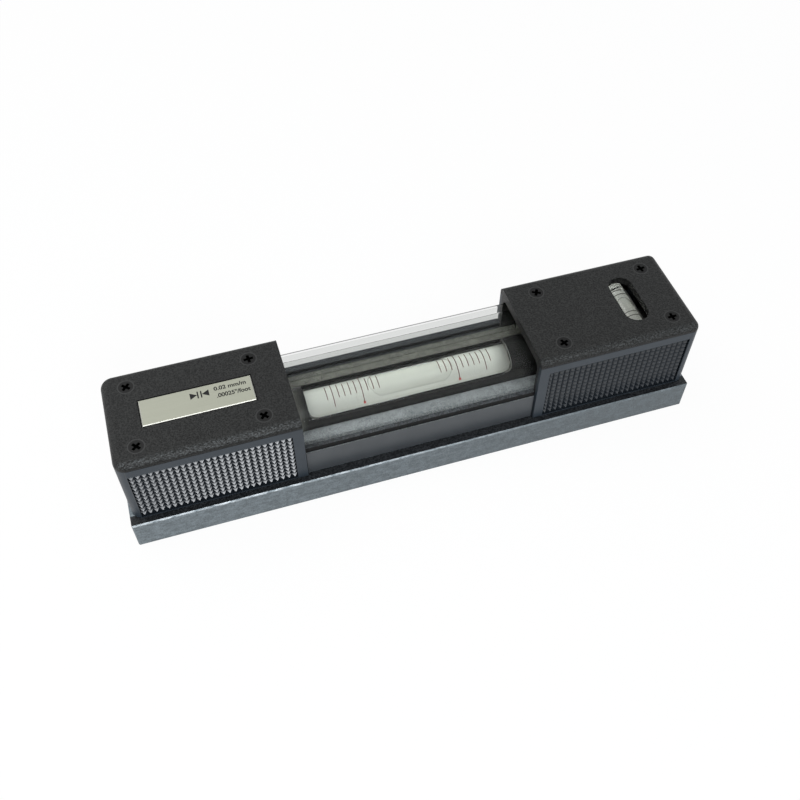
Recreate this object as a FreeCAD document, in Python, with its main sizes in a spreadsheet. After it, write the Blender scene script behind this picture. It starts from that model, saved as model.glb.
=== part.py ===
import FreeCAD, Part
import math
import os
import re
import Sketcher
from FreeCAD import Placement, Rotation, Vector

# A bar-type precision machinist level, in millimetres.
# Frame: origin at the middle of the sole's underside, +X along the length towards the cross vial,
# +Y across the width, +Z up.

DIMENSIONS = {
    # cast base
    "base_length": 200.0,
    "base_width": 42.4,
    "sole_height": 11.6,
    "edge_break": 0.4,
    "groove_width": 24.0,
    "groove_depth": 6.93,
    "block_front": 17.6,
    "block_back": 18.7,
    "block_length": 80.4,
    "block_top": 22.6,
    "core_width": 30.4,
    "core_length": 189.0,
    "core_top": 23.0,
    "trough_radius": 8.5,
    "trough_left": 66.0,
    "trough_right": 60.0,
    "channel_width": 18.0,
    "channel_floor": 13.0,
    "pivot_channel_end": 79.0,
    "channel_relief": 1.0,
    "screw_channel_end": 72.0,
    "screw_boss_radius": 4.0,
    "screw_boss_top": 17.0,
    # end covers
    "cover_inner": 40.5,
    "cover_outer": 99.1,
    "cover_width": 37.5,
    "cover_bottom": 11.7,
    "cover_top": 41.0,
    "side_wall": 3.0,
    "roof_wall": 2.7,
    "left_corner_radius": 4.0,
    "right_corner_radius": 2.6,
    "rim_radius": 2.5,
    "arch_radius": 4.0,
    "mouth_wall": 3.7,
    "mouth_depth": 2.0,
    "mouth_radius": 2.6,
    "knurl_pitch": 2.0,
    "knurl_columns": 26.0,
    "knurl_rows": 11.0,
    "knurl_start": 44.0,
    "knurl_bottom": 12.0,
    "knurl_lip": 0.85,
    "knurl_crest": 0.05,
    # cover screws and the posts that take them
    "screw_inner": 51.0,
    "screw_outer": 91.0,
    "screw_side": 12.15,
    "post_radius": 2.8,
    "post_top": 36.0,
    "boss_radius": 3.0,
    "tap_depth": 11.0,
    "shank_radius": 1.45,
    "tap_radius": 1.5,
    "head_radius": 2.8,
    "head_height": 1.7,
    "screw_length": 12.0,
    "recess_span": 3.2,
    "recess_width": 1.0,
    "recess_depth": 1.1,
    # name plate
    "plate_centre": -70.0,
    "plate_length": 36.2,
    "plate_width": 10.6,
    "plate_thickness": 0.5,
    "plate_recess": 0.4,
    "plate_bevel": 0.3,
    # window over the cross vial
    "window_centre": 80.4,
    "window_width": 8.6,
    "window_length": 20.8,
    # clear hood and its seals
    "hood_length": 91.0,
    "hood_width": 30.8,
    "hood_wall": 2.5,
    "hood_foot": 23.2,
    "hood_top": 37.0,
    "hood_radius": 2.5,
    "hood_inner_radius": 1.0,
    "seal_height": 2.1,
    "seal_gap_front": 0.2,
    "seal_width_front": 1.6,
    "seal_gap_back": 0.8,
    "seal_width_back": 2.4,
    # carrier tube, tilting on its pin
    "axis_height": 23.0,
    "tube_radius": 8.0,
    "tube_bore": 6.6,
    "tube_left": 62.0,
    "tube_right": 57.0,
    "milled_height": 24.8,
    "milled_back": 5.0,
    "milled_half": 36.0,
    "milled_radius": 4.0,
    "plug_radius": 6.58,
    "plug_inner": 49.0,
    "pivot_station": 69.0,
    "pivot_height": 18.0,
    "pivot_radius": 1.5,
    "pivot_clearance": 0.05,
    "pivot_length": 26.0,
    "pivot_tongue_end": 75.0,
    "pivot_tongue_width": 16.0,
    "pivot_tongue_bottom": 14.0,
    "pivot_tongue_top": 27.0,
    "tongue_end": 70.0,
    "tongue_width": 10.0,
    "tongue_bottom": 21.5,
    "tongue_thickness": 3.0,
    # zero adjustment
    "adjust_station": 64.0,
    "adjust_clearance": 1.9,
    "adjust_gap": 0.05,
    "washer_radius": 3.4,
    "washer_bore": 1.6,
    "washer_thickness": 0.5,
    "adjust_head_radius": 2.8,
    "adjust_head_height": 2.0,
    "adjust_shank_end": 10.5,
    "adjust_tap_end": 9.0,
    "slot_width": 0.8,
    "slot_depth": 1.0,
    "spring_discs": 4.0,
    "spring_bore": 1.65,
    "spring_flare": 0.75,
    "spring_wall": 0.9,
    "spring_gap": 0.03,
    # main vial
    "vial_radius": 6.0,
    "vial_bore": 5.0,
    "vial_half": 47.0,
    "vial_end_wall": 2.0,
    "liquid_gap": 0.02,
    "bubble_left": -14.0,
    "bubble_right": 16.0,
    "bubble_half_width": 4.2,
    "bubble_floor": 2.7,
    "seat_inner": 40.0,
    "seat_length": 5.0,
    "seat_gap": 0.02,
    "liner_half": 38.5,
    "liner_gap": 0.05,
    "liner_thickness": 0.4,
    "liner_rise": 1.2,
    "line_shift": 0.4,
    "line_first": 11.0,
    "line_pitch": 2.0,
    "line_width": 0.26,
    "line_height": 0.05,
    "line_short": 27.0,
    "line_long": 53.0,
    "line_zero": 60.0,
    # cross vial
    "cross_centre": 0.9,
    "cross_height": 34.5,
    "cross_radius": 3.7,
    "cross_bore": 2.9,
    "cross_half": 10.2,
    "cross_end_wall": 1.2,
    "cross_bubble_half": 3.0,
    "cross_bubble_side": 2.3,
    "cross_bubble_floor": 1.75,
    "cross_line_inner": 4.3,
    "cross_line_outer": 6.2,
    "cross_line_angle": 65.0,
    "cross_liner_thickness": 0.16,
    "cross_liner_inset": 0.1,
    "holder_length": 13.0,
    "holder_width": 28.4,
    "flange_thickness": 3.0,
    "cradle_length": 9.6,
    "cradle_width": 18.6,
    "holder_screw_side": 11.6,
    "holder_screw_radius": 1.2,
    "holder_head_radius": 2.1,
    "holder_head_height": 1.6,
    "holder_screw_length": 8.0,
}

# Which dividing lines are longer than the rest, counted from the first line on each side.
LONG_LINES = {3: "line_zero", 8: "line_long"}
LINES_PER_SIDE = 10
# How far each cover screw's cross recess is turned, in degrees: inner pair, then outer pair.
LEFT_RECESS_TURNS = (45.0, 5.0, 42.0, 48.0)
RIGHT_RECESS_TURNS = (20.0, 62.0, 2.0, 8.0)

doc = FreeCAD.newDocument("machinist_level")
sheet = doc.addObject("Spreadsheet::Sheet", "Dims")
for row, (alias, value) in enumerate(DIMENSIONS.items(), start=1):
    sheet.set(f"A{row}", alias)
    sheet.set(f"B{row}", repr(value))
    sheet.setAlias(f"B{row}", alias)
doc.recompute()

ALONG_X = Rotation(Vector(0, 1, 0), 90)
ALONG_Y = Rotation(Vector(1, 0, 0), -90)
UPRIGHT = Rotation()


def size(alias):
    """A driving dimension's value, for the few shapes that are set in code."""
    return float(getattr(sheet, alias))


def formula(text):
    """A sheet formula from plain words: every alias has an underscore and gets the sheet's name."""
    return re.sub(r"[a-z]+(?:_[a-z]+)+", lambda word: "Dims." + word.group(0), text)


def bind(item, **formulas):
    """Tie properties of an object to sheet formulas."""
    for name, text in formulas.items():
        item.setExpression(name, formula(text))


def locate(item, x="0", y="0", z="0", turn=UPRIGHT):
    """Turn an object, then tie its position to sheet formulas."""
    item.Placement = Placement(Vector(), turn)
    for axis, text in zip("xyz", (x, y, z)):
        if text != "0":
            item.setExpression(f"Placement.Base.{axis}", formula(text))


# ---------------------------------------------------------------- primitives and booleans

def box(name, length, width, height, x, y, z):
    """A box with its lowest corner at x, y, z."""
    item = doc.addObject("Part::Box", name)
    bind(item, Length=length, Width=width, Height=height)
    locate(item, x, y, z)
    return item


def centred_box(name, length, width, height, x, z):
    """A box centred on x and on the part's middle plane, standing on z."""
    return box(name, length, width, height, f"{x} - ({length}) / 2", f"-({width}) / 2", z)


def cylinder(name, radius, height, x="0", y="0", z="0", turn=UPRIGHT):
    item = doc.addObject("Part::Cylinder", name)
    bind(item, Radius=radius, Height=height)
    locate(item, x, y, z, turn)
    return item


def cone(name, radius_low, radius_high, height, x="0", y="0", z="0"):
    item = doc.addObject("Part::Cone", name)
    bind(item, Radius1=radius_low, Radius2=radius_high, Height=height)
    locate(item, x, y, z)
    return item


def fuse(name, items):
    item = doc.addObject("Part::MultiFuse", name)
    item.Shapes = items
    return item


def group(name, items):
    """Separate solids that share one node."""
    item = doc.addObject("Part::Compound", name)
    item.Links = items
    return item


def cut(name, base, tool):
    item = doc.addObject("Part::Cut", name)
    item.Base = base
    item.Tool = tool
    return item


def common(name, base, tool):
    item = doc.addObject("Part::Common", name)
    item.Base = base
    item.Tool = tool
    return item


def dress_edges(kind, name, base, amount, wanted):
    """Fillet or chamfer the edges of an object that pass the wanted test, given their middle."""
    doc.recompute()
    item = doc.addObject(kind, name)
    item.Base = base
    item.Edges = [
        (index, amount, amount)
        for index, edge in enumerate(base.Shape.Edges, start=1)
        if wanted(edge, edge.CenterOfMass)
    ]
    return item


def round_edges(name, base, radius, wanted):
    return dress_edges("Part::Fillet", name, base, radius, wanted)


def bevel_edges(name, base, width, wanted):
    return dress_edges("Part::Chamfer", name, base, width, wanted)


def near(value, target):
    return abs(value - target) < 1e-4


def runs_along(edge, axis):
    """True for a straight edge in line with the axis."""
    if not isinstance(edge.Curve, Part.Line):
        return False
    return near(abs(edge.Curve.Direction.dot(axis)), 1.0)


# ---------------------------------------------------------------- sketched bodies

def plane_of(body, role):
    return next(plane for plane in body.Origin.OriginFeatures if plane.Role == role)


def outline_sketch(body, name, role, corners, offset=None):
    """A closed outline on one of the body's origin planes, each corner tied to sheet formulas."""
    sketch = body.newObject("Sketcher::SketchObject", name)
    sketch.AttachmentSupport = [(plane_of(body, role), "")]
    sketch.MapMode = "FlatFace"
    if offset:
        sketch.setExpression("AttachmentOffset.Base.z", formula(offset))
    points = [Vector(number(across), number(along), 0) for across, along in corners]
    for index, point in enumerate(points):
        following = points[(index + 1) % len(points)]
        sketch.addGeometry(Part.LineSegment(point, following), False)
    count = len(points)
    for index in range(count):
        sketch.addConstraint(Sketcher.Constraint("Coincident", index, 2, (index + 1) % count, 1))
    for index, (across, along) in enumerate(corners):
        tie_corner(sketch, index, across, "DistanceX", -2, f"across_{index}")
        tie_corner(sketch, index, along, "DistanceY", -1, f"along_{index}")
    return sketch


def tie_corner(sketch, index, text, kind, axis, name):
    """Hold one coordinate of a corner: on the axis where it is zero, else at its formula."""
    if text == "0":
        sketch.addConstraint(Sketcher.Constraint("PointOnObject", index, 1, axis))
        return
    constraint = sketch.addConstraint(Sketcher.Constraint(kind, -1, 1, index, 1, number(text)))
    sketch.renameConstraint(constraint, name)
    sketch.setExpression(f"Constraints.{name}", formula(text))


def number(text):
    """The present value of a sheet formula."""
    return float(sheet.evalExpression(formula(text).replace("Dims.", "")))


def new_body(name, x="0", y="0", z="0", turn=UPRIGHT):
    body = doc.addObject("PartDesign::Body", name)
    locate(body, x, y, z, turn)
    return body


def pad(body, name, sketch, length, backwards=False):
    feature = body.newObject("PartDesign::Pad", name)
    feature.Profile = sketch
    bind(feature, Length=length)
    feature.Reversed = backwards
    return feature


def pocket(body, name, sketch, length, backwards=False):
    """A pocket, which must take some of the body away."""
    doc.recompute()
    before = body.Shape.Volume
    feature = body.newObject("PartDesign::Pocket", name)
    feature.Profile = sketch
    bind(feature, Length=length)
    feature.Reversed = backwards
    doc.recompute()
    if body.Shape.Volume > before - 1e-3:
        raise RuntimeError(f"{name} removes nothing")
    return feature


def turned_body(name, profile, x="0", y="0", z="0", turn=UPRIGHT):
    """A body turned about its own Z axis from corners given as (radius, height)."""
    body = new_body(name, x, y, z, turn)
    sketch = outline_sketch(body, name + "_profile", "XZ_Plane", profile)
    feature = body.newObject("PartDesign::Revolution", name + "_turned")
    feature.Profile = sketch
    feature.ReferenceAxis = (sketch, ["V_Axis"])
    feature.Angle = 360.0
    return body


# ---------------------------------------------------------------- cast base

def base_body():
    """One casting: grooved sole, raised middle, core under the covers and eight screw posts."""
    sole = centred_box("sole_block", "base_length", "base_width", "sole_height", "0", "0")
    length_axis = Vector(1, 0, 0)
    upright_axis = Vector(0, 0, 1)

    def outer_arris(edge, middle):
        if runs_along(edge, upright_axis):
            return True
        at_top = near(middle.z, size("sole_height"))
        return at_top and runs_along(edge, length_axis)

    broken_sole = bevel_edges("sole_with_broken_edges", sole, size("edge_break"), outer_arris)

    block = box("raised_block", "block_length", "block_front + block_back",
                "block_top - sole_height + 1", "-block_length / 2", "-block_front", "sole_height - 1")
    core = centred_box("core_block", "core_length", "core_width",
                       "core_top - sole_height + 1", "0", "sole_height - 1")
    stations = screw_places(-1) + screw_places(1)
    posts = [
        cylinder(f"post_{index}", "post_radius", "post_top - core_top + 1", x, y, "core_top - 1")
        for index, (x, y) in enumerate(stations, start=1)
    ]
    casting = fuse("rough_casting", [broken_sole, block, core] + posts)

    groove = new_body("sole_groove")
    groove_outline = outline_sketch(groove, "groove_outline", "YZ_Plane", [
        ("-groove_width / 2 * 1.2", "-groove_depth * 0.2"),
        ("groove_width / 2 * 1.2", "-groove_depth * 0.2"),
        ("0", "groove_depth"),
    ], offset="-base_length")
    pad(groove, "groove_run", groove_outline, "base_length * 2")

    trough = cylinder("trough", "trough_radius", "trough_left + trough_right",
                      "-trough_left", "0", "axis_height", ALONG_X)
    pivot_channel = box("pivot_channel", "pivot_channel_end - tube_left + channel_relief",
                        "channel_width", "30",
                        "-pivot_channel_end", "-channel_width / 2", "channel_floor")
    screw_channel = box("screw_channel", "screw_channel_end - tube_right", "channel_width", "30",
                        "tube_right", "-channel_width / 2", "channel_floor")
    hollow = fuse("hollows", [groove, trough, pivot_channel, screw_channel])
    hollowed = cut("hollowed_casting", casting, hollow)

    boss = cylinder("adjusting_boss", "screw_boss_radius", "screw_boss_top - channel_floor + 1",
                    "adjust_station", "0", "channel_floor - 1")
    bossed = fuse("casting_with_boss", [hollowed, boss])

    holes = [
        cylinder("pivot_hole", "pivot_radius", "core_width + 2",
                 "-pivot_station", "-core_width / 2 - 1", "pivot_height", ALONG_Y),
        cylinder("adjusting_tap", "tap_radius", "screw_boss_top - adjust_tap_end + 1",
                 "adjust_station", "0", "adjust_tap_end"),
    ]
    for index, (x, y) in enumerate(stations, start=1):
        holes.append(cylinder(f"post_tap_{index}", "tap_radius", "tap_depth + 1",
                              x, y, "post_top - tap_depth"))
    for index, sign in enumerate("-+", start=1):
        holes.append(cylinder(f"holder_tap_{index}", "holder_screw_radius + 0.05",
                              "holder_screw_length", "window_centre",
                              f"cross_centre {sign} holder_screw_side",
                              "core_top - holder_screw_length + 1"))
    cut("base_body", bossed, fuse("tapped_holes", holes))


# ---------------------------------------------------------------- end covers

def comb(name, start, teeth, run_start, run, face, outward, upright, tail=0.0):
    """A comb-edged prism that cuts one family of vee grooves into a side face.

    The teeth step along X and run up Z when upright, else step up Z and run along X.
    A flat strip at valley depth may follow the last tooth.
    """
    pitch = size("knurl_pitch")
    crest = size("knurl_crest")
    valley = crest + pitch / 2
    clear = 1.0

    def corner(step, depth):
        across = face - outward * depth
        if upright:
            return Vector(step, across, run_start)
        return Vector(run_start, across, step)

    corners = [corner(start, -clear)]
    for tooth in range(teeth):
        corners.append(corner(start + tooth * pitch, valley))
        corners.append(corner(start + (tooth + 0.5) * pitch, crest))
    end = start + teeth * pitch
    corners.append(corner(end, valley))
    if tail:
        corners.append(corner(end + tail, valley))
    corners.append(corner(end + tail, -clear))
    corners.append(corners[0])
    way = Vector(0, 0, run) if upright else Vector(run, 0, 0)
    item = doc.addObject("Part::Feature", name)
    item.Shape = Part.Face(Part.makePolygon(corners)).extrude(way)
    item.Placement = Placement()
    return item


def knurled(name, base, side):
    """Cut the grip panels into both long sides: square pyramids in rows and columns."""
    pitch = size("knurl_pitch")
    columns = int(size("knurl_columns"))
    rows = int(size("knurl_rows"))
    width = columns * pitch
    lip = size("knurl_lip")
    height = rows * pitch + lip
    first = size("knurl_start") if side > 0 else -size("knurl_start") - width
    bottom = size("knurl_bottom")
    half = size("cover_width") / 2
    upright = []
    level = []
    for outward in (-1, 1):
        face = outward * half
        tag = f"{name}_{'front' if outward < 0 else 'back'}"
        upright.append(comb(tag + "_columns", first, columns, bottom, height, face, outward, True))
        level.append(comb(tag + "_rows", bottom, rows, first, width, face, outward, False, lip))
    columned = cut(name + "_columned", base, group(name + "_column_combs", upright))
    return cut(name + "_panelled", columned, group(name + "_row_combs", level))


def arched_space(name, length, low_x, roof, radius):
    """Space under a cover's roof, open below, with rounded upper edges along X."""
    block = box(name + "_block", length, "cover_width - 2 * side_wall",
                f"cover_top - {roof} - cover_bottom + 1",
                low_x, "-(cover_width - 2 * side_wall) / 2", "cover_bottom - 1")
    ceiling = size("cover_top") - size(roof)

    def ceiling_edge(edge, middle):
        return near(middle.z, ceiling) and runs_along(edge, Vector(1, 0, 0))

    return round_edges(name, block, size(radius), ceiling_edge)


def cover_shell(name, side):
    """The moulded shell: rounded box, open below and at its inner end."""
    length = "(cover_outer - cover_inner)"
    low_x = "cover_inner" if side > 0 else "-cover_outer"
    block = box(name + "_block", length, "cover_width", "cover_top - cover_bottom",
                low_x, "-cover_width / 2", "cover_bottom")
    outer_x = side * size("cover_outer")
    inner_x = side * size("cover_inner")
    top_z = size("cover_top")

    def outer_corner(edge, middle):
        return runs_along(edge, Vector(0, 0, 1)) and near(middle.x, outer_x)

    def top_rim(edge, middle):
        return near(middle.z, top_z) and not near(middle.x, inner_x)

    corner_radius = size("right_corner_radius" if side > 0 else "left_corner_radius")
    cornered = round_edges(name + "_cornered", block, corner_radius, outer_corner)
    rounded = round_edges(name + "_rounded", cornered, size("rim_radius"), top_rim)

    low_x = "cover_inner + mouth_depth" if side > 0 else "-cover_outer + side_wall"
    hollow = arched_space(name + "_hollow", f"{length} - side_wall - mouth_depth", low_x,
                          "roof_wall", "arch_radius")
    low_x = "cover_inner - 1" if side > 0 else "-cover_inner - mouth_depth - 1"
    mouth = arched_space(name + "_mouth", "mouth_depth + 2", low_x, "mouth_wall", "mouth_radius")
    shell = cut(name + "_shell", rounded, fuse(name + "_space", [hollow, mouth]))

    bosses = []
    for x, y in screw_places(side):
        bosses.append(cylinder(f"{name}_boss_{len(bosses) + 1}", "boss_radius",
                               "cover_top - roof_wall - post_top + 1", x, y, "post_top"))
    return fuse(name + "_bossed", [shell] + bosses)


def screw_places(side):
    sign = "" if side > 0 else "-"
    return [(sign + x, y + "screw_side") for x in ("screw_inner", "screw_outer") for y in ("-", "")]


def screw_holes(name, side):
    """Countersunk through holes for the cover screws."""
    holes = []
    for index, (x, y) in enumerate(screw_places(side), start=1):
        holes.append(cylinder(f"{name}_hole_{index}", "tap_radius", "cover_top - post_top + 2",
                              x, y, "post_top - 1"))
        holes.append(cone(f"{name}_countersink_{index}", "shank_radius", "head_radius",
                          "head_height", x, y, "cover_top - head_height"))
    return holes


def left_cover():
    side = -1
    panelled = knurled("left_shell", cover_shell("left_shell", side), side)
    recess = box("plate_recess_cut", "plate_length + 0.1", "plate_width + 0.1", "plate_recess + 1",
                 "plate_centre - plate_length / 2 - 0.05", "-plate_width / 2 - 0.05",
                 "cover_top - plate_recess")
    cut("left_cover", panelled, fuse("left_cover_cuts", screw_holes("left_shell", side) + [recess]))


def right_cover():
    """The same shell, with the obround window over the cross vial."""
    side = 1
    panelled = knurled("right_shell", cover_shell("right_shell", side), side)
    straight = "(window_length - window_width)"
    middle = centred_box("window_middle", "window_width", straight, "10", "window_centre",
                         "cover_top - 5")
    ends = [
        cylinder(f"window_end_{index}", "window_width / 2", "10", "window_centre",
                 f"{sign}{straight} / 2", "cover_top - 5")
        for index, sign in enumerate(("-", ""), start=1)
    ]
    cuts = screw_holes("right_shell", side) + [middle] + ends
    cut("right_cover", panelled, fuse("right_cover_cuts", cuts))


def cover_screws(name, side, turns):
    """Four countersunk screws with cross recesses."""
    screws = []
    for index, ((x, y), turn) in enumerate(zip(screw_places(side), turns), start=1):
        tag = f"{name}_{index}"
        shank = cylinder(tag + "_shank", "shank_radius", "screw_length", x, y,
                         "cover_top - screw_length")
        head = cone(tag + "_head", "shank_radius", "head_radius", "head_height", x, y,
                    "cover_top - head_height")
        blank = fuse(tag + "_blank", [shank, head])
        arms = []
        for arm, extra in (("a", 0.0), ("b", 90.0)):
            blade = new_body(f"{tag}_blade_{arm}", x, y, "cover_top - recess_depth",
                             Rotation(Vector(0, 0, 1), turn + extra))
            outline = outline_sketch(blade, f"{tag}_blade_{arm}_outline", "XY_Plane", [
                ("-recess_span / 2", "-recess_width / 2"),
                ("recess_span / 2", "-recess_width / 2"),
                ("recess_span / 2", "recess_width / 2"),
                ("-recess_span / 2", "recess_width / 2"),
            ])
            pad(blade, f"{tag}_blade_{arm}_pad", outline, "recess_depth + 1")
            arms.append(blade)
        screws.append(cut(tag, blank, fuse(tag + "_recess", arms)))
    group(name, screws)


def name_plate():
    body = new_body("name_plate", "plate_centre", "0", "cover_top - plate_recess")
    outline = outline_sketch(body, "plate_outline", "XY_Plane", [
        ("-plate_length / 2", "-plate_width / 2"),
        ("plate_length / 2", "-plate_width / 2"),
        ("plate_length / 2", "plate_width / 2"),
        ("-plate_length / 2", "plate_width / 2"),
    ])
    plate = pad(body, "plate_sheet", outline, "plate_thickness")
    doc.recompute()
    top = size("plate_thickness")
    rim = [
        f"Edge{index}"
        for index, edge in enumerate(plate.Shape.Edges, start=1)
        if near(edge.CenterOfMass.z, top)
    ]
    bevel = body.newObject("PartDesign::Chamfer", "plate_bevel_cut")
    bevel.Base = (plate, rim)
    bind(bevel, Size="plate_bevel")


# ---------------------------------------------------------------- clear hood and seals

def clear_hood():
    """Upside-down U that covers the main vial, its ends inside the covers."""
    outside = centred_box("hood_outside", "hood_length", "hood_width", "hood_top - hood_foot",
                          "0", "hood_foot")
    inside = centred_box("hood_inside", "hood_length + 2", "hood_width - 2 * hood_wall",
                         "hood_top - hood_wall - hood_foot + 1", "0", "hood_foot - 1")

    def upper_long_edge(edge, middle):
        is_upper = middle.z > size("hood_top") - size("hood_wall") - 1
        return is_upper and runs_along(edge, Vector(1, 0, 0))

    rounded_outside = round_edges("hood_outside_round", outside, size("hood_radius"),
                                  upper_long_edge)
    rounded_inside = round_edges("hood_inside_round", inside, size("hood_inner_radius"),
                                 upper_long_edge)
    cut("clear_hood", rounded_outside, rounded_inside)


def hood_seals():
    """Dark seals: a thin strip under each of the hood's feet and a raised bead outside it."""
    for place in ("front", "back"):
        name = f"hood_seal_{place}"
        gap = f"seal_gap_{place}"
        bead_width = f"seal_width_{place}"
        if place == "front":
            strip_y = "-hood_width / 2"
            bead_y = f"-hood_width / 2 - {gap} - {bead_width}"
            web_y = f"-hood_width / 2 - {gap} - 0.1"
        else:
            strip_y = "hood_width / 2 - hood_wall"
            bead_y = f"hood_width / 2 + {gap}"
            web_y = "hood_width / 2 - 0.1"
        strip = box(name + "_strip", "hood_length", "hood_wall", "hood_foot - core_top",
                    "-hood_length / 2", strip_y, "core_top")
        bead = box(name + "_bead", "block_length", bead_width, "seal_height",
                   "-block_length / 2", bead_y, "block_top")
        web = box(name + "_web", "block_length", f"{gap} + 0.2", "hood_foot - core_top",
                  "-block_length / 2", web_y, "core_top")
        fuse(name, [strip, web, bead])


# ---------------------------------------------------------------- carrier of the main vial

def carrier_tube():
    """Tube with a window over the vial, milled from the front and closed at the back."""
    outside = cylinder("tube_outside", "tube_radius", "tube_left + tube_right",
                       "-tube_left", "0", "axis_height", ALONG_X)
    bore = cylinder("tube_bore_cut", "tube_bore", "tube_left + tube_right + 2",
                    "-tube_left - 1", "0", "axis_height", ALONG_X)
    blank = cut("tube_blank", outside, bore)
    window = box("tube_window_block", "2 * milled_half", "2 * tube_radius + milled_back",
                 "2 * tube_radius", "-milled_half", "-2 * tube_radius", "milled_height")

    def lower_cross_edge(edge, middle):
        return near(middle.z, size("milled_height")) and runs_along(edge, Vector(0, 1, 0))

    rounded = round_edges("tube_window", window, size("milled_radius"), lower_cross_edge)
    cut("carrier_tube", blank, rounded)


def carrier_pivot_plug():
    """Plug in the tube's left end with a broad tongue that turns on the pivot pin."""
    plug = cylinder("pivot_plug_round", "plug_radius", "tube_left - plug_inner",
                    "-tube_left", "0", "axis_height", ALONG_X)
    tongue = box("pivot_plug_tongue", "pivot_tongue_end - tube_left", "pivot_tongue_width",
                 "pivot_tongue_top - pivot_tongue_bottom", "-pivot_tongue_end",
                 "-pivot_tongue_width / 2", "pivot_tongue_bottom")
    hole = cylinder("pivot_plug_hole", "pivot_radius + pivot_clearance", "pivot_tongue_width + 2",
                    "-pivot_station", "-pivot_tongue_width / 2 - 1", "pivot_height", ALONG_Y)
    cut("carrier_pivot_plug", fuse("pivot_plug_blank", [plug, tongue]), hole)


def carrier_tongue_plug():
    """Plug in the tube's right end with a flat tongue under the adjusting screw."""
    plug = cylinder("tongue_plug_round", "plug_radius", "tube_right - plug_inner",
                    "plug_inner", "0", "axis_height", ALONG_X)
    tongue = box("tongue_plug_tongue", "tongue_end - tube_right + 1", "tongue_width",
                 "tongue_thickness", "tube_right - 1", "-tongue_width / 2", "tongue_bottom")
    hole = cylinder("tongue_plug_hole", "adjust_clearance", "tongue_thickness + 2",
                    "adjust_station", "0", "tongue_bottom - 1")
    cut("carrier_tongue_plug", fuse("tongue_plug_blank", [plug, tongue]), hole)


def pivot_pin():
    turned_body("pivot_pin", [
        ("0", "0"),
        ("pivot_radius", "0"),
        ("pivot_radius", "pivot_length"),
        ("0", "pivot_length"),
    ], "-pivot_station", "-pivot_length / 2", "pivot_height", ALONG_Y)


# ---------------------------------------------------------------- zero adjustment

def adjusting_washer():
    turned_body("adjusting_washer", [
        ("washer_bore", "0"),
        ("washer_radius", "0"),
        ("washer_radius", "washer_thickness"),
        ("washer_bore", "washer_thickness"),
    ], "adjust_station", "0", "tongue_bottom + tongue_thickness + adjust_gap")


def adjusting_screw():
    """Slotted cheese-head screw; its body's zero is the underside of its head."""
    seat = "tongue_bottom + tongue_thickness + washer_thickness + 1.5 * adjust_gap"
    body = turned_body("adjusting_screw", [
        ("0", f"adjust_shank_end - ({seat})"),
        ("shank_radius", f"adjust_shank_end - ({seat})"),
        ("shank_radius", "0"),
        ("adjust_head_radius", "0"),
        ("adjust_head_radius", "adjust_head_height"),
        ("0", "adjust_head_height"),
    ], "adjust_station", "0", seat)
    slot = outline_sketch(body, "adjusting_slot_outline", "XY_Plane", [
        ("-adjust_head_radius - 1", "-slot_width / 2"),
        ("adjust_head_radius + 1", "-slot_width / 2"),
        ("adjust_head_radius + 1", "slot_width / 2"),
        ("-adjust_head_radius - 1", "slot_width / 2"),
    ], offset="adjust_head_height")
    pocket(body, "adjusting_slot", slot, "slot_depth")


def adjusting_spring():
    """Disc springs stacked face to face around the screw, from the boss to the tongue."""
    low = "(screw_boss_top + spring_gap)"
    rise = "((tongue_bottom - screw_boss_top - 2 * spring_gap) / spring_discs)"
    discs = []
    for index in range(int(size("spring_discs"))):
        foot = f"{low} + {index} * {rise}"
        wide_end = "spring_bore + spring_flare"
        ends = ("spring_bore", wide_end) if index % 2 else (wide_end, "spring_bore")
        tag = f"spring_disc_{index + 1}"
        outside = cone(tag + "_outside", f"{ends[0]} + spring_wall", f"{ends[1]} + spring_wall",
                       rise, "adjust_station", "0", foot)
        inside = cone(tag + "_inside", *ends, rise, "adjust_station", "0", foot)
        discs.append(cut(tag, outside, inside))
    fuse("adjusting_spring", discs)


# ---------------------------------------------------------------- vials

def vial(prefix, radius, bore, half, end_wall, low, z, turn, x="0"):
    """The blank of a sealed glass tube and the blank of its liquid, along their own axis."""
    start = f"{low}"
    along_x = turn is ALONG_X
    place = (start, "0", z) if along_x else (x, start, z)
    inner_start = f"{low} + {end_wall}"
    inner_place = (inner_start, "0", z) if along_x else (x, inner_start, z)
    outside = cylinder(prefix + "_glass_outside", radius, f"2 * {half}", *place, turn)
    void = cylinder(prefix + "_glass_void", bore, f"2 * {half} - 2 * {end_wall}", *inner_place, turn)
    cut(prefix + "_glass", outside, void)
    gap_start = f"{low} + {end_wall} + liquid_gap"
    gap_place = (gap_start, "0", z) if along_x else (x, gap_start, z)
    return cylinder(prefix + "_liquid_blank", f"{bore} - liquid_gap",
                    f"2 * ({half} - {end_wall} - liquid_gap)", *gap_place, turn)


def half_pipe(name, radius, thickness, length, x, y, z, turn, rise="0"):
    """The lower part of a thin pipe, the liner under a vial, up to a rise above its axis."""
    outside = cylinder(name + "_outside", f"{radius} + {thickness}", length, x, y, z, turn)
    inside = cylinder(name + "_inside", radius, length, x, y, z, turn)
    pipe = cut(name + "_pipe", outside, inside)
    along_x = turn is ALONG_X
    span = (length, "20") if along_x else ("20", length)
    corner = (x, "-10") if along_x else (f"{x} - 10", y)
    lower = box(name + "_lower", *span, "20", *corner, f"{z} - 20 + {rise}")
    common(name, pipe, lower)


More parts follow.
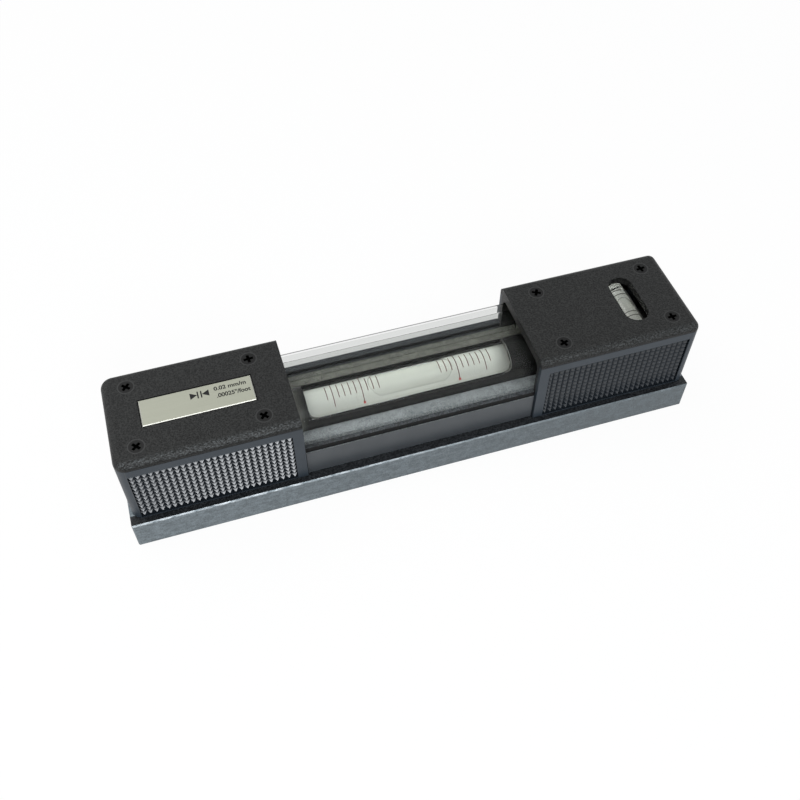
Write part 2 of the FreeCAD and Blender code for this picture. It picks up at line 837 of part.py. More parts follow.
def ring_sector(inner, outer, width, half_angle, station, axis):
    """A thin line drawn round the top of a vial, as a solid."""
    low = math.radians(90 - half_angle)
    high = math.radians(90 + half_angle)
    middle = math.radians(90)

    def point(radius, angle):
        across = radius * math.cos(angle)
        up = radius * math.sin(angle)
        if axis.x:
            return Vector(station, across, up)
        return Vector(across, station, up)

    edges = [
        Part.Arc(point(inner, low), point(inner, middle), point(inner, high)).toShape(),
        Part.LineSegment(point(inner, high), point(outer, high)).toShape(),
        Part.Arc(point(outer, high), point(outer, middle), point(outer, low)).toShape(),
        Part.LineSegment(point(outer, low), point(inner, low)).toShape(),
    ]
    return Part.Face(Part.Wire(edges)).extrude(axis * width)


def main_vial():
    liquid = vial("main_vial", "vial_radius", "vial_bore", "vial_half", "vial_end_wall",
                  "-vial_half", "axis_height", ALONG_X)
    floor = "axis_height + bubble_floor"
    half = "bubble_half_width"
    middle = box("bubble_middle", f"bubble_right - bubble_left - 2 * {half}", f"2 * {half}", "10",
                 f"bubble_left + {half}", f"-{half}", floor)
    left = cylinder("bubble_left_end", half, "10", f"bubble_left + {half}", "0", floor)
    right = cylinder("bubble_right_end", half, "10", f"bubble_right - {half}", "0", floor)
    cut("main_vial_liquid", liquid, fuse("bubble", [middle, left, right]))

    half_pipe("main_vial_backing", "vial_radius + liner_gap", "liner_thickness", "2 * liner_half",
              "-liner_half", "0", "axis_height", ALONG_X, "liner_rise")

    lines = []
    width = size("line_width")
    inner = size("vial_radius")
    outer = inner + size("line_height")
    for side in (-1, 1):
        for count in range(LINES_PER_SIDE):
            angle = size(LONG_LINES.get(count, "line_short"))
            distance = size("line_first") + count * size("line_pitch")
            station = size("line_shift") + side * distance
            lines.append(ring_sector(inner, outer, width, angle, station - width / 2, Vector(1, 0, 0)))
    item = doc.addObject("Part::Feature", "main_vial_graduations")
    item.Shape = Part.makeCompound(lines)
    item.Placement = Placement(Vector(0, 0, size("axis_height")), Rotation())

    seats = {"vial_seat_left": "-seat_inner - seat_length", "vial_seat_right": "seat_inner"}
    for name, x in seats.items():
        turned_body(name, [
            ("vial_radius + seat_gap", "0"),
            ("tube_bore - seat_gap", "0"),
            ("tube_bore - seat_gap", "seat_length"),
            ("vial_radius + seat_gap", "seat_length"),
        ], x, "0", "axis_height", ALONG_X)


def cross_vial():
    low = "cross_centre - cross_half"
    liquid = vial("cross_vial", "cross_radius", "cross_bore", "cross_half", "cross_end_wall",
                  low, "cross_height", ALONG_Y, "window_centre")
    floor = "cross_height + cross_bubble_floor"
    side = "cross_bubble_side"
    straight = "(cross_bubble_half - cross_bubble_side)"
    middle = box("cross_bubble_middle", f"2 * {side}", f"2 * {straight}", "10",
                 f"window_centre - {side}", f"cross_centre - {straight}", floor)
    front = cylinder("cross_bubble_front", side, "10", "window_centre",
                     f"cross_centre - {straight}", floor)
    back = cylinder("cross_bubble_back", side, "10", "window_centre",
                    f"cross_centre + {straight}", floor)
    cut("cross_vial_liquid", liquid, fuse("cross_bubble", [middle, front, back]))

    half_pipe("cross_vial_backing", "cross_radius + seat_gap", "cross_liner_thickness",
              "2 * (cross_half - cross_liner_inset)", "window_centre",
              "cross_centre - cross_half + cross_liner_inset",
              "cross_height", ALONG_Y)

    lines = []
    width = size("line_width")
    inner = size("cross_radius")
    outer = inner + size("line_height")
    for alias in ("cross_line_inner", "cross_line_outer"):
        for sign in (-1, 1):
            station = sign * size(alias) - width / 2
            lines.append(ring_sector(inner, outer, width, size("cross_line_angle"), station,
                                     Vector(0, 1, 0)))
    item = doc.addObject("Part::Feature", "cross_vial_graduations")
    item.Shape = Part.makeCompound(lines)
    item.Placement = Placement(
        Vector(size("window_centre"), size("cross_centre"), size("cross_height")), Rotation())


def cross_vial_holder():
    """Flanged cradle, screwed down on the base's core."""
    flange = box("holder_flange", "holder_length", "holder_width", "flange_thickness",
                 "window_centre - holder_length / 2", "cross_centre - holder_width / 2", "core_top")
    cradle = box("holder_cradle", "cradle_length", "cradle_width", "cross_height - core_top - 1",
                 "window_centre - cradle_length / 2", "cross_centre - cradle_width / 2",
                 "core_top + 1")
    seat_radius = "cross_radius + cross_liner_thickness + 2 * seat_gap"
    seat = cylinder("holder_seat", seat_radius, "cradle_width + 2", "window_centre",
                    "cross_centre - cradle_width / 2 - 1", "cross_height", ALONG_Y)
    holes = [
        cylinder(f"holder_hole_{index}", "holder_screw_radius + 0.1", "flange_thickness + 2",
                 "window_centre", f"cross_centre {sign} holder_screw_side", "core_top - 1")
        for index, sign in enumerate("-+", start=1)
    ]
    blank = fuse("holder_blank", [flange, cradle])
    cut("cross_vial_holder", blank, fuse("holder_cuts", [seat] + holes))


def cross_vial_screws():
    """Two small slotted pan screws through the cradle's flange."""
    screws = []
    top = "core_top + flange_thickness"
    for index, sign in enumerate("-+", start=1):
        tag = f"holder_screw_{index}"
        y = f"cross_centre {sign} holder_screw_side"
        shank = cylinder(tag + "_shank", "holder_screw_radius", "holder_screw_length", "window_centre",
                         y, f"{top} - holder_screw_length + 1")
        head = cylinder(tag + "_head", "holder_head_radius", "holder_head_height", "window_centre",
                        y, f"{top} + adjust_gap / 5")
        slot = box(tag + "_slot", "6", "slot_width * 0.8", "slot_depth",
                   "window_centre - 3", f"{y} - slot_width * 0.4",
                   f"{top} + holder_head_height - slot_depth * 0.7")
        screws.append(cut(tag, fuse(tag + "_blank", [shank, head]), slot))
    group("cross_vial_screws", screws)


# ---------------------------------------------------------------- build, check and write

NODES = (
    "base_body", "left_cover", "right_cover", "left_cover_screws", "right_cover_screws",
    "name_plate", "clear_hood", "hood_seal_front", "hood_seal_back",
    "carrier_tube", "carrier_pivot_plug", "carrier_tongue_plug", "pivot_pin",
    "adjusting_washer", "adjusting_screw", "adjusting_spring",
    "main_vial_glass", "main_vial_liquid", "main_vial_backing", "main_vial_graduations",
    "vial_seat_left", "vial_seat_right",
    "cross_vial_holder", "cross_vial_screws",
    "cross_vial_glass", "cross_vial_liquid", "cross_vial_backing", "cross_vial_graduations",
)

base_body()
left_cover()
right_cover()
cover_screws("left_cover_screws", -1, LEFT_RECESS_TURNS)
cover_screws("right_cover_screws", 1, RIGHT_RECESS_TURNS)
name_plate()
clear_hood()
hood_seals()
carrier_tube()
carrier_pivot_plug()
carrier_tongue_plug()
pivot_pin()
adjusting_washer()
adjusting_screw()
adjusting_spring()
main_vial()
cross_vial()
cross_vial_holder()
cross_vial_screws()
doc.recompute()

failed = [item.Name for item in doc.Objects if {"Invalid", "Error"} & set(item.State)]
if failed:
    raise RuntimeError("failed objects: " + ", ".join(failed))

os.makedirs("parts", exist_ok=True)
shapes = {}
for node in NODES:
    item = doc.getObject(node)
    item.Label = node
    if item.Shape.isNull() or not item.Shape.isValid():
        raise RuntimeError(f"{node} has no valid shape")
    shapes[node] = item.Shape
for node, shape in shapes.items():
    shape.exportStep(f"parts/{node}.step")
    low = shape.BoundBox
    print(f"{node:24s} solids {len(shape.Solids):2d} faces {len(shape.Faces):5d} "
          f"volume {shape.Volume:10.2f} x {low.XMin:7.2f} {low.XMax:7.2f} "
          f"y {low.YMin:6.2f} {low.YMax:6.2f} z {low.ZMin:6.2f} {low.ZMax:6.2f}")
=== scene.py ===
"""Looks of the bar-type machinist level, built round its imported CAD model. Metres, Z up."""
import math

import bpy
from mathutils import Euler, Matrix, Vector


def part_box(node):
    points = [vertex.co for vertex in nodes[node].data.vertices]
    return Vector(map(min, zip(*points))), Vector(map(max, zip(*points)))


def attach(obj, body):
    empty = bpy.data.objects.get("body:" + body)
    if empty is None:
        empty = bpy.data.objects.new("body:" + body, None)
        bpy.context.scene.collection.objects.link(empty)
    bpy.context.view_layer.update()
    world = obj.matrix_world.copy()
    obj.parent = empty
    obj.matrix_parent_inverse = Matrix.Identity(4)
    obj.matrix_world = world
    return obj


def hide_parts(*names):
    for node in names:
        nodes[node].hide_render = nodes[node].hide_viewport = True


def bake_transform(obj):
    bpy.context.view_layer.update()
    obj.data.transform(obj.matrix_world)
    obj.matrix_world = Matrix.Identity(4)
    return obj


MM = 0.001

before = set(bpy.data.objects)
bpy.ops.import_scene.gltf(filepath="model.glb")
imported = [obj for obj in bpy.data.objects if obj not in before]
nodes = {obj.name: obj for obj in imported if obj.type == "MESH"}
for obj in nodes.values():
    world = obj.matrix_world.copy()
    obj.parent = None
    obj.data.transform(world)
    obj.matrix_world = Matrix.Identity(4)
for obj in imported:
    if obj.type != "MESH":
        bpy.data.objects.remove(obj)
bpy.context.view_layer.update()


# ---------------------------------------------------------------- material building

class Look:
    """A node material under construction. Any input may be a number, a colour or a socket."""

    def __init__(self, name):
        self.material = bpy.data.materials.new(name)
        self.material.use_nodes = True
        self.tree = self.material.node_tree
        self.tree.nodes.clear()
        self.output = self.tree.nodes.new("ShaderNodeOutputMaterial")
        coordinates = self.tree.nodes.new("ShaderNodeTexCoord")
        self.place = coordinates.outputs["Object"]
        split = self.tree.nodes.new("ShaderNodeSeparateXYZ")
        self.tree.links.new(self.place, split.inputs[0])
        self.x, self.y, self.z = split.outputs

    def put(self, socket, value):
        """Link a socket, or set a plain value on it."""
        if isinstance(value, bpy.types.NodeSocket):
            self.tree.links.new(value, socket)
        elif isinstance(value, (tuple, list)) and len(value) == 3 and socket.type == "RGBA":
            socket.default_value = (*value, 1.0)
        else:
            socket.default_value = value

    def add(self, kind, inputs=None, **settings):
        node = self.tree.nodes.new(kind)
        for key, value in settings.items():
            setattr(node, key, value)
        for key, value in (inputs or {}).items():
            self.put(node.inputs[key], value)
        return node

    def math(self, operation, first, second=0.0):
        node = self.add("ShaderNodeMath", operation=operation)
        self.put(node.inputs[0], first)
        self.put(node.inputs[1], second)
        return node.outputs[0]

    def plus(self, first, second):
        return self.math("ADD", first, second)

    def minus(self, first, second):
        return self.math("SUBTRACT", first, second)

    def times(self, first, *others):
        """A product. Of masks, it is on only where all of them are."""
        for other in others:
            first = self.math("MULTIPLY", first, other)
        return first

    def outside(self, mask):
        """The opposite of a mask."""
        return self.minus(1.0, mask)

    def above(self, value, limit):
        return self.math("GREATER_THAN", value, limit)

    def below(self, value, limit):
        return self.math("LESS_THAN", value, limit)

    def away(self, value, middle=None):
        """How far a value is from a middle one, or from zero."""
        if middle is not None:
            value = self.minus(value, middle)
        return self.math("ABSOLUTE", value)

    def hypotenuse(self, first, second):
        squares = self.plus(self.times(first, first), self.times(second, second))
        return self.math("SQRT", squares)

    def ramp(self, value, low, high, start=0.0, end=1.0):
        """start below low, end above high, smooth between."""
        node = self.add("ShaderNodeMapRange", interpolation_type="SMOOTHSTEP")
        for key, item in zip(("Value", "From Min", "From Max", "To Min", "To Max"),
                             (value, low, high, start, end)):
            self.put(node.inputs[key], item)
        return node.outputs["Result"]

    def fall(self, value, low, high):
        """1 below low, 0 above high, smooth between."""
        return self.ramp(value, low, high, 1.0, 0.0)

    def noise(self, scale, detail=3.0, roughness=0.55, stretch=None):
        where = self.place
        if stretch:
            mapping = self.add("ShaderNodeMapping", {"Vector": where, "Scale": stretch})
            where = mapping.outputs[0]
        node = self.add("ShaderNodeTexNoise", {"Vector": where, "Scale": scale, "Detail": detail,
                                               "Roughness": roughness})
        return node.outputs["Fac"]

    def cells(self, scale):
        node = self.add("ShaderNodeTexVoronoi",
                        {"Vector": self.place, "Scale": scale, "Smoothness": 0.6},
                        feature="SMOOTH_F1")
        return node.outputs["Distance"]

    def mix(self, factor, first, second):
        """A colour between two colours. The node's sockets 6 and 7 are its colours."""
        node = self.add("ShaderNodeMix", {0: factor, 6: first, 7: second}, data_type="RGBA")
        return node.outputs[2]

    def blend(self, factor, first, second):
        """A number between two numbers. The node's sockets 2 and 3 are its numbers."""
        node = self.add("ShaderNodeMix", {0: factor, 2: first, 3: second}, data_type="FLOAT")
        return node.outputs[0]

    def facing(self, axis):
        """The surface normal's part along X, Y or Z of the object."""
        geometry = self.add("ShaderNodeNewGeometry")
        turned = self.add("ShaderNodeVectorTransform", {0: geometry.outputs["True Normal"]},
                          vector_type="NORMAL", convert_from="WORLD", convert_to="OBJECT")
        split = self.add("ShaderNodeSeparateXYZ", {0: turned.outputs[0]})
        return split.outputs["XYZ".index(axis)]

    def box_distance(self, low, high):
        """How far outside an upright box a point is, seen from above; negative inside it."""
        middle = (low + high) / 2
        half = (high - low) / 2
        past_x = self.minus(self.away(self.x, middle.x), half.x)
        past_y = self.minus(self.away(self.y, middle.y), half.y)
        return self.math("MAXIMUM", past_x, past_y)

    def edge_on(self):
        """High where the surface is seen edge-on, for the rims of clear pieces."""
        return self.add("ShaderNodeLayerWeight", {"Blend": 0.5}).outputs["Facing"]

    def bump(self, height, distance, strength):
        node = self.add("ShaderNodeBump", {"Height": height, "Distance": distance,
                                           "Strength": strength})
        return node.outputs["Normal"]

    def surface(self, **inputs):
        """A Principled surface; underscores in names stand for spaces."""
        shader = self.add("ShaderNodeBsdfPrincipled",
                          {key.replace("_", " "): value for key, value in inputs.items()})
        self.put(self.output.inputs["Surface"], shader.outputs[0])
        return shader

    def either(self, mask, first, second):
        """The surface is the first shader where the mask is 0 and the second where it is 1."""
        mix = self.add("ShaderNodeMixShader", {0: mask, 1: first.outputs[0], 2: second.outputs[0]})
        self.put(self.output.inputs["Surface"], mix.outputs[0])

    def lit_through(self, shader, tint):
        """Let lamps shine through glass, which they otherwise only reach by chance."""
        clear = self.add("ShaderNodeBsdfTransparent", {"Color": tint})
        rays = self.add("ShaderNodeLightPath")
        self.either(rays.outputs["Is Shadow Ray"], shader, clear)


def dress(node_name, material):
    """Give a CAD node its finish."""
    mesh = nodes[node_name].data
    mesh.materials.clear()
    mesh.materials.append(material)


# ---------------------------------------------------------------- finishes

def cover_finish():
    """Black moulding: leathery top and rim, smooth blue-grey margins, darker and glossier knurl."""
    look = Look("cover_plastic")
    end, side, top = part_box("right_cover")[1]
    rim_line = top - 2.8 * MM
    knurl_start = 43.8 * MM
    knurl_end = 96.3 * MM
    from_axis = look.away(look.y)
    from_centre = look.away(look.x)
    inside = look.times(look.below(from_axis, side - 1.55 * MM), look.below(from_centre, end - 1.1 * MM))
    skin = look.outside(inside)
    smooth = look.times(look.fall(look.z, rim_line - 0.1 * MM, rim_line + 0.1 * MM), skin)
    cut_in = look.fall(from_axis, side - 0.25 * MM, side - 0.03 * MM)
    knurl = look.times(cut_in, look.below(from_centre, knurl_end), look.above(from_centre, knurl_start),
                       smooth)
    groove = look.times(look.fall(from_axis, side - 1.0 * MM, side - 0.45 * MM), knurl)
    step = look.times(look.ramp(look.z, rim_line - 0.35 * MM, rim_line - 0.05 * MM),
                      look.fall(look.z, rim_line - 0.05 * MM, rim_line + 0.2 * MM), skin)

    cells = look.cells(2100.0)
    fine = look.noise(3600.0)
    grain = look.plus(look.times(cells, 0.7), look.times(fine, 0.5))
    cloud = look.noise(160.0, detail=4.0)
    speckle = look.ramp(look.plus(look.times(cells, 0.5), look.times(fine, 0.5)), 0.24, 0.7)
    top_colour = look.mix(speckle, (0.003, 0.003, 0.003), (0.0135, 0.014, 0.013))
    side_colour = look.mix(look.noise(90.0, detail=4.0), (0.014, 0.021, 0.029), (0.028, 0.037, 0.047))
    knurl_colour = (0.008, 0.010, 0.013)
    step_colour = (0.002, 0.002, 0.003)
    colour = look.mix(smooth, top_colour, side_colour)
    colour = look.mix(look.times(knurl, 0.75), colour, knurl_colour)
    colour = look.mix(look.times(step, 0.85), colour, step_colour)

    # Painted glints: bright flecks where the leathery top rolls over into the front side, fainter to the
    # right, where less lamp light falls.
    rolled = look.times(look.ramp(look.z, top - 2.0 * MM, top - 1.2 * MM),
                        look.fall(look.y, 1.15 * MM - side, 2.85 * MM - side),
                        look.below(from_centre, end - 1.1 * MM))
    flecks = look.ramp(look.noise(2300.0, detail=3.0, roughness=0.75, stretch=(0.6, 1, 1)), 0.46, 0.64)
    fading_glints_to_the_right = look.ramp(look.x, -60 * MM, 60 * MM, 0.42, 0.25)
    colour = look.mix(look.times(flecks, rolled, fading_glints_to_the_right), colour, (0.17, 0.185, 0.19))

    # Painted shadow in the gap round the name plate.
    plate_gap_shadow = look.fall(look.box_distance(*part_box("name_plate")), 0.15 * MM, 0.5 * MM)
    plate_gap_shadow = look.times(plate_gap_shadow, look.above(look.z, top - 1.0 * MM))
    colour = look.mix(look.times(plate_gap_shadow, 0.9), colour, (0.001, 0.001, 0.001))

    rough = look.blend(smooth, look.blend(cells, 0.34, 0.55), look.blend(cloud, 0.42, 0.5))
    rough = look.blend(knurl, rough, look.blend(fine, 0.16, 0.3))
    gloss = look.blend(smooth, look.blend(speckle, 0.14, 0.3), 0.4)
    gloss = look.blend(knurl, gloss, 0.62)
    gloss = look.times(gloss, look.outside(look.times(groove, 0.75)))
    gloss = look.times(gloss, look.outside(look.times(look.plus(step, plate_gap_shadow), 0.8)))
    relief = look.times(grain, look.blend(smooth, 1.0, 0.1))
    look.surface(Base_Color=colour, Roughness=rough, Specular_IOR_Level=gloss,
                 Normal=look.bump(relief, distance=0.2 * MM, strength=0.7))
    return look.material


def iron_finish():
    """Cast base: ground mottled sole, dark ledges, painted walls, machined core top; painted shade and a
    painted highlight on sole and core top.
    """
    look = Look("cast_iron")
    sole_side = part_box("base_body")[1].y
    sole_top = 11.6 * MM
    block_side = 17.6 * MM
    block_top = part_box("hood_seal_front")[0].z
    from_axis = look.away(look.y)
    facing_up = look.ramp(look.facing("Z"), 0.8, 0.95)
    ledge = look.times(facing_up, look.ramp(from_axis, block_side - 0.6 * MM, block_side - 0.3 * MM),
                       look.ramp(look.z, sole_top - 0.2 * MM, sole_top - 0.05 * MM))
    wall = look.ramp(look.z, sole_top + 0.05 * MM, sole_top + 0.2 * MM)
    core_top = look.times(facing_up, look.ramp(look.z, block_top - 0.3 * MM, block_top - 0.1 * MM))

    coarse = look.noise(330.0, detail=6.0, roughness=0.72)
    fine = look.noise(1700.0, detail=5.0, roughness=0.75)
    streak = look.noise(520.0, detail=4.0, roughness=0.6, stretch=(0.45, 1.0, 1.6))
    mottle = look.ramp(look.plus(look.times(coarse, 0.6), look.times(streak, 0.4)), 0.4, 0.6)
    ground = look.mix(mottle, (0.098, 0.120, 0.132), (0.185, 0.218, 0.238))
    between_pits = look.ramp(fine, 0.36, 0.5)
    ground = look.mix(between_pits, look.mix(0.55, ground, (0.03, 0.035, 0.04)), ground)
    flecks = look.ramp(fine, 0.58, 0.68)
    ground = look.mix(look.times(flecks, 0.4), ground, (0.45, 0.5, 0.53))
    # Painted shade: the ground iron darker towards the right, where less lamp light falls.
    painted_shade_to_the_right = look.ramp(look.x, -90 * MM, 90 * MM, 0.0, 0.4)
    ground = look.mix(painted_shade_to_the_right, ground, (0.045, 0.055, 0.06))

    # Bright wear along the sole's upper edges, with a painted highlight that makes it strongest at the
    # left, where most lamp light falls.
    worn_edge_and_highlight = look.ramp(look.noise(800.0, detail=4.0, roughness=0.7, stretch=(0.4, 1, 1)), 0.44, 0.55)
    worn_edge_and_highlight = look.times(worn_edge_and_highlight, look.ramp(look.x, -80 * MM, 70 * MM, 0.26, 0.04),
                      look.ramp(look.z, sole_top - 0.95 * MM, sole_top - 0.45 * MM),
                      look.ramp(from_axis, sole_side - 0.7 * MM, sole_side - 0.4 * MM),
                      look.outside(ledge))
    ground = look.mix(worn_edge_and_highlight, ground, (0.8, 0.84, 0.86))

    paint = look.mix(look.noise(120.0, detail=4.0), (0.034, 0.039, 0.044), (0.055, 0.061, 0.067))
    dark = look.mix(look.ramp(fine, 0.4, 0.65), (0.004, 0.005, 0.006), (0.035, 0.038, 0.042))
    patches = look.ramp(look.plus(look.times(coarse, 0.5), look.times(fine, 0.5)), 0.36, 0.62)
    # Painted shade: the back half of the core top, seen through the hood, is a darker and greener copy of
    # the front half.
    near_top = look.mix(patches, (0.10, 0.112, 0.115), (0.22, 0.236, 0.24))
    shaded_far_top = look.mix(patches, (0.062, 0.064, 0.053), (0.172, 0.176, 0.149))
    machined = look.mix(look.ramp(look.y, -8 * MM, 8 * MM), near_top, shaded_far_top)

    colour = look.mix(wall, ground, paint)
    colour = look.mix(ledge, colour, dark)
    colour = look.mix(core_top, colour, machined)
    painted = look.times(wall, look.outside(core_top))
    bare = look.times(look.outside(painted), look.outside(ledge))
    relief = look.plus(look.times(coarse, 0.6), look.times(fine, 0.5))
    look.surface(Base_Color=colour, Metallic=look.times(bare, 0.45),
                 Roughness=look.blend(bare, 0.42, look.blend(mottle, 0.36, 0.55)),
                 Normal=look.bump(relief, distance=0.08 * MM, strength=look.blend(bare, 0.1, 0.6)),
                 Specular_IOR_Level=look.minus(0.5, look.times(ledge, 0.3)))
    return look.material


def screw_finish():
    """Black oxide heads with a painted highlight ring round each rim and painted shade in the cross
    recesses.
    """
    look = Look("black_screw")
    low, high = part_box("right_cover_screws")
    top = high.z
    head_radius = 2.8 * MM
    row_middle = (low.x + high.x) / 2
    half_spacing = (high.x - low.x) / 2 - head_radius
    row_side = 12.15 * MM
    cloud = look.noise(900.0, detail=4.0)
    along = look.minus(look.away(look.away(look.x), row_middle), half_spacing)
    across = look.minus(look.away(look.y), row_side)
    from_head = look.hypotenuse(along, across)
    # Painted highlight round the rim of each head.
    ring = look.times(look.ramp(from_head, head_radius - 0.5 * MM, head_radius - 0.25 * MM),
                      look.above(look.z, top - 0.1 * MM))
    # Painted shade in the cross recesses.
    recess_shade = look.fall(look.z, top - 0.5 * MM, top - 0.05 * MM)
    colour = look.mix(cloud, (0.0025, 0.0025, 0.0025), (0.0095, 0.0095, 0.009))
    colour = look.mix(look.times(ring, 0.5), colour, (0.045, 0.046, 0.045))
    colour = look.mix(recess_shade, colour, (0.001, 0.001, 0.001))
    gloss = look.times(look.blend(ring, 0.17, 0.27), look.outside(look.times(recess_shade, 0.95)))
    look.surface(Base_Color=colour, Roughness=look.blend(cloud, 0.3, 0.5), Specular_IOR_Level=gloss,
                 Normal=look.bump(cloud, distance=0.02 * MM, strength=0.4))
    return look.material


def plate_finish():
    """Pale champagne metal with a satin grain and a lighter bevel."""
    look = Look("plate_metal")
    bevel = look.fall(look.facing("Z"), 0.8, 0.97)
    grain = look.noise(500.0, detail=4.0, roughness=0.6, stretch=(0.2, 3.0, 1.0))
    colour = look.mix(grain, (0.315, 0.32, 0.255), (0.36, 0.365, 0.295))
    colour = look.mix(bevel, colour, (0.62, 0.61, 0.55))
    look.surface(Base_Color=colour, Metallic=0.35, Roughness=look.blend(grain, 0.38, 0.5),
                 Normal=look.bump(grain, distance=0.01 * MM, strength=0.4))
    return look.material


def acrylic_finish():
    """Clear hood: hardly bends what is seen through it, with painted dark lines on its rounded edges
    where seen edge-on and a darker band on its back wall.
    """
    look = Look("clear_acrylic")
    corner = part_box("clear_hood")[1]
    wall = 2.5 * MM
    inner_side = corner.y - wall
    inner_top = corner.z - wall
    outer_zone_side = inner_side + 0.05 * MM
    outer_zone_low = inner_top + 0.1 * MM
    inner_zone = 0.95 * MM
    band_low = 28.0 * MM
    band_high = 34.0 * MM
    haze = look.noise(60.0, detail=3.0)
    clear = look.mix(haze, (0.955, 0.965, 0.96), (0.985, 0.99, 0.985))
    # A darker band along the back wall, between two heights.
    back_wall_band = look.times(look.ramp(look.y, inner_side - 0.3 * MM, inner_side),
                       look.ramp(look.z, band_low - 0.5 * MM, band_low + 0.5 * MM),
                       look.fall(look.z, band_high - 0.4 * MM, band_high + 0.4 * MM))
    tint = look.mix(back_wall_band, clear, (0.58, 0.59, 0.58))
    from_axis = look.away(look.y)
    outer_edge = look.times(look.above(from_axis, outer_zone_side), look.above(look.z, outer_zone_low))
    inner_edge = look.times(look.above(from_axis, inner_side - inner_zone),
                            look.above(look.z, inner_top - inner_zone),
                            look.below(look.z, outer_zone_low), look.below(from_axis, outer_zone_side))
    # Painted shade: dark lines on the rounded edges where they are seen edge-on, standing in for light
    # bent away there.
    rim = look.times(look.ramp(look.edge_on(), 0.35, 0.7), look.plus(outer_edge, inner_edge))
    tint = look.mix(look.times(rim, 0.95), tint, (0.05, 0.052, 0.052))
    shader = look.surface(Base_Color=tint, Roughness=look.blend(haze, 0.0, 0.02),
                          Transmission_Weight=1.0, IOR=1.07, Coat_Weight=0.12,
                          Coat_Roughness=0.03, Coat_IOR=1.45)
    look.lit_through(shader, (0.95, 0.96, 0.95))
    return look.material


def seal_finish():
    """Black bead beside the hood, its upward faces painted lighter as lit faces; the strip under its feet
    looks like the iron, its back half in painted shade.
    """
    look = Look("seal_strip")
    hood_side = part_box("clear_hood")[1].y
    fleck = look.ramp(look.noise(1400.0, detail=4.0, roughness=0.7), 0.42, 0.66)
    # Painted light: faces that look up are lighter than the bead's black sides.
    up = look.ramp(look.facing("Z"), 0.7, 0.95)
    top = look.mix(fleck, (0.015, 0.017, 0.019), (0.055, 0.062, 0.068))
    colour = look.mix(up, (0.003, 0.003, 0.003), top)
    # Painted shade: the back foot strip is a darker, greener copy of the front one.
    near_foot = look.mix(fleck, (0.082, 0.091, 0.094), (0.175, 0.189, 0.193))
    shaded_far_foot = look.mix(fleck, (0.06, 0.062, 0.051), (0.155, 0.159, 0.134))
    foot = look.mix(look.above(look.y, 0.0), near_foot, shaded_far_foot)
    under = look.fall(look.away(look.y), hood_side - 0.1 * MM, hood_side)
    colour = look.mix(look.times(under, up), colour, foot)
    look.surface(Base_Color=colour, Roughness=0.55, Specular_IOR_Level=look.blend(up, 0.15, 0.4),
                 Normal=look.bump(fleck, distance=0.04 * MM, strength=0.5))
    return look.material


def carrier_finish():
    """Near-black tube with turned streaks, a left end painted lighter as a reflection of the window lamp,
    and lighter milled ends of its window.
    """
    look = Look("carrier_black")
    window_half = 36.0 * MM
    turned = look.noise(300.0, detail=4.0, roughness=0.6, stretch=(5.0, 0.6, 0.6))
    colour = look.mix(turned, (0.002, 0.002, 0.002), (0.013, 0.0135, 0.0125))
    milled = look.below(look.away(look.x), window_half + 0.05 * MM)
    window_ends = look.times(look.ramp(look.away(look.facing("X")), 0.2, 0.5), milled)
    colour = look.mix(look.times(window_ends, 0.5), colour, (0.11, 0.11, 0.10))
    # Painted reflection: the left end is lighter, as the window lamp shows in it.
    left_end_reflection = look.ramp(look.x, -window_half - 6 * MM, -window_half, 0.9, 0.0)
    colour = look.mix(left_end_reflection, colour, (0.12, 0.12, 0.104))
    look.surface(Base_Color=colour, Roughness=look.blend(turned, 0.22, 0.4),
                 Specular_IOR_Level=0.12, Normal=look.bump(turned, distance=0.02 * MM, strength=0.35))
    return look.material


def vial_glass_finish():
    look = Look("vial_glass")
    ripple = look.noise(40.0, detail=2.0)
    shader = look.surface(Base_Color=look.mix(ripple, (0.985, 0.985, 0.98), (0.995, 0.995, 0.99)),
                          Roughness=0.04, Transmission_Weight=1.0, IOR=1.47)
    look.lit_through(shader, (0.985, 0.985, 0.98))
    return look.material


def liquid_finish():
    look = Look("vial_liquid")
    ripple = look.noise(40.0, detail=2.0)
    shader = look.surface(Base_Color=look.mix(ripple, (0.975, 0.98, 0.965), (0.99, 0.99, 0.98)),
                          Roughness=0.0, Transmission_Weight=1.0, IOR=1.36)
    look.lit_through(shader, (0.98, 0.98, 0.97))
    return look.material


def bubble_finish(name, middle_x, middle_y, straight_x, straight_y, half_width):
    """A bubble: nearly clear, with a painted thin grey outline standing in for shade at its edge, seen
    from above, fainter on the front side.

    straight_x and straight_y are half the lengths of its straight part along X and Y.
    """
    look = Look(name)
    ripple = look.noise(60.0, detail=2.0)
    past_x = look.math("MAXIMUM", look.minus(look.away(look.x, middle_x), straight_x), 0.0)
    past_y = look.math("MAXIMUM", look.minus(look.away(look.y, middle_y), straight_y), 0.0)
    spread = look.hypotenuse(past_x, past_y)
    # Painted shade: a thin grey outline near the bubble's edge.
    rim = look.ramp(spread, half_width - 0.5 * MM, half_width - 0.15 * MM)
    front_side = middle_y - half_width
    back_side = middle_y + 0.5 * half_width
    rim = look.times(rim, look.ramp(look.y, front_side, back_side, 0.35, 1.0))
    tint = look.mix(ripple, (0.975, 0.98, 0.965), (0.99, 0.99, 0.98))
    tint = look.mix(look.times(rim, 0.5), tint, (0.4, 0.41, 0.38))
    shader = look.surface(Base_Color=tint, Roughness=0.0, Transmission_Weight=1.0, IOR=1.06)
    look.lit_through(shader, (0.985, 0.985, 0.98))
    return look.material


def liner_finish():
    look = Look("liner_white")
    cloud = look.noise(220.0, detail=4.0)
    colour = look.mix(cloud, (0.48, 0.495, 0.445), (0.52, 0.535, 0.48))
    look.surface(Base_Color=colour, Roughness=0.7,
                 Normal=look.bump(cloud, distance=0.02 * MM, strength=0.3))
    return look.material


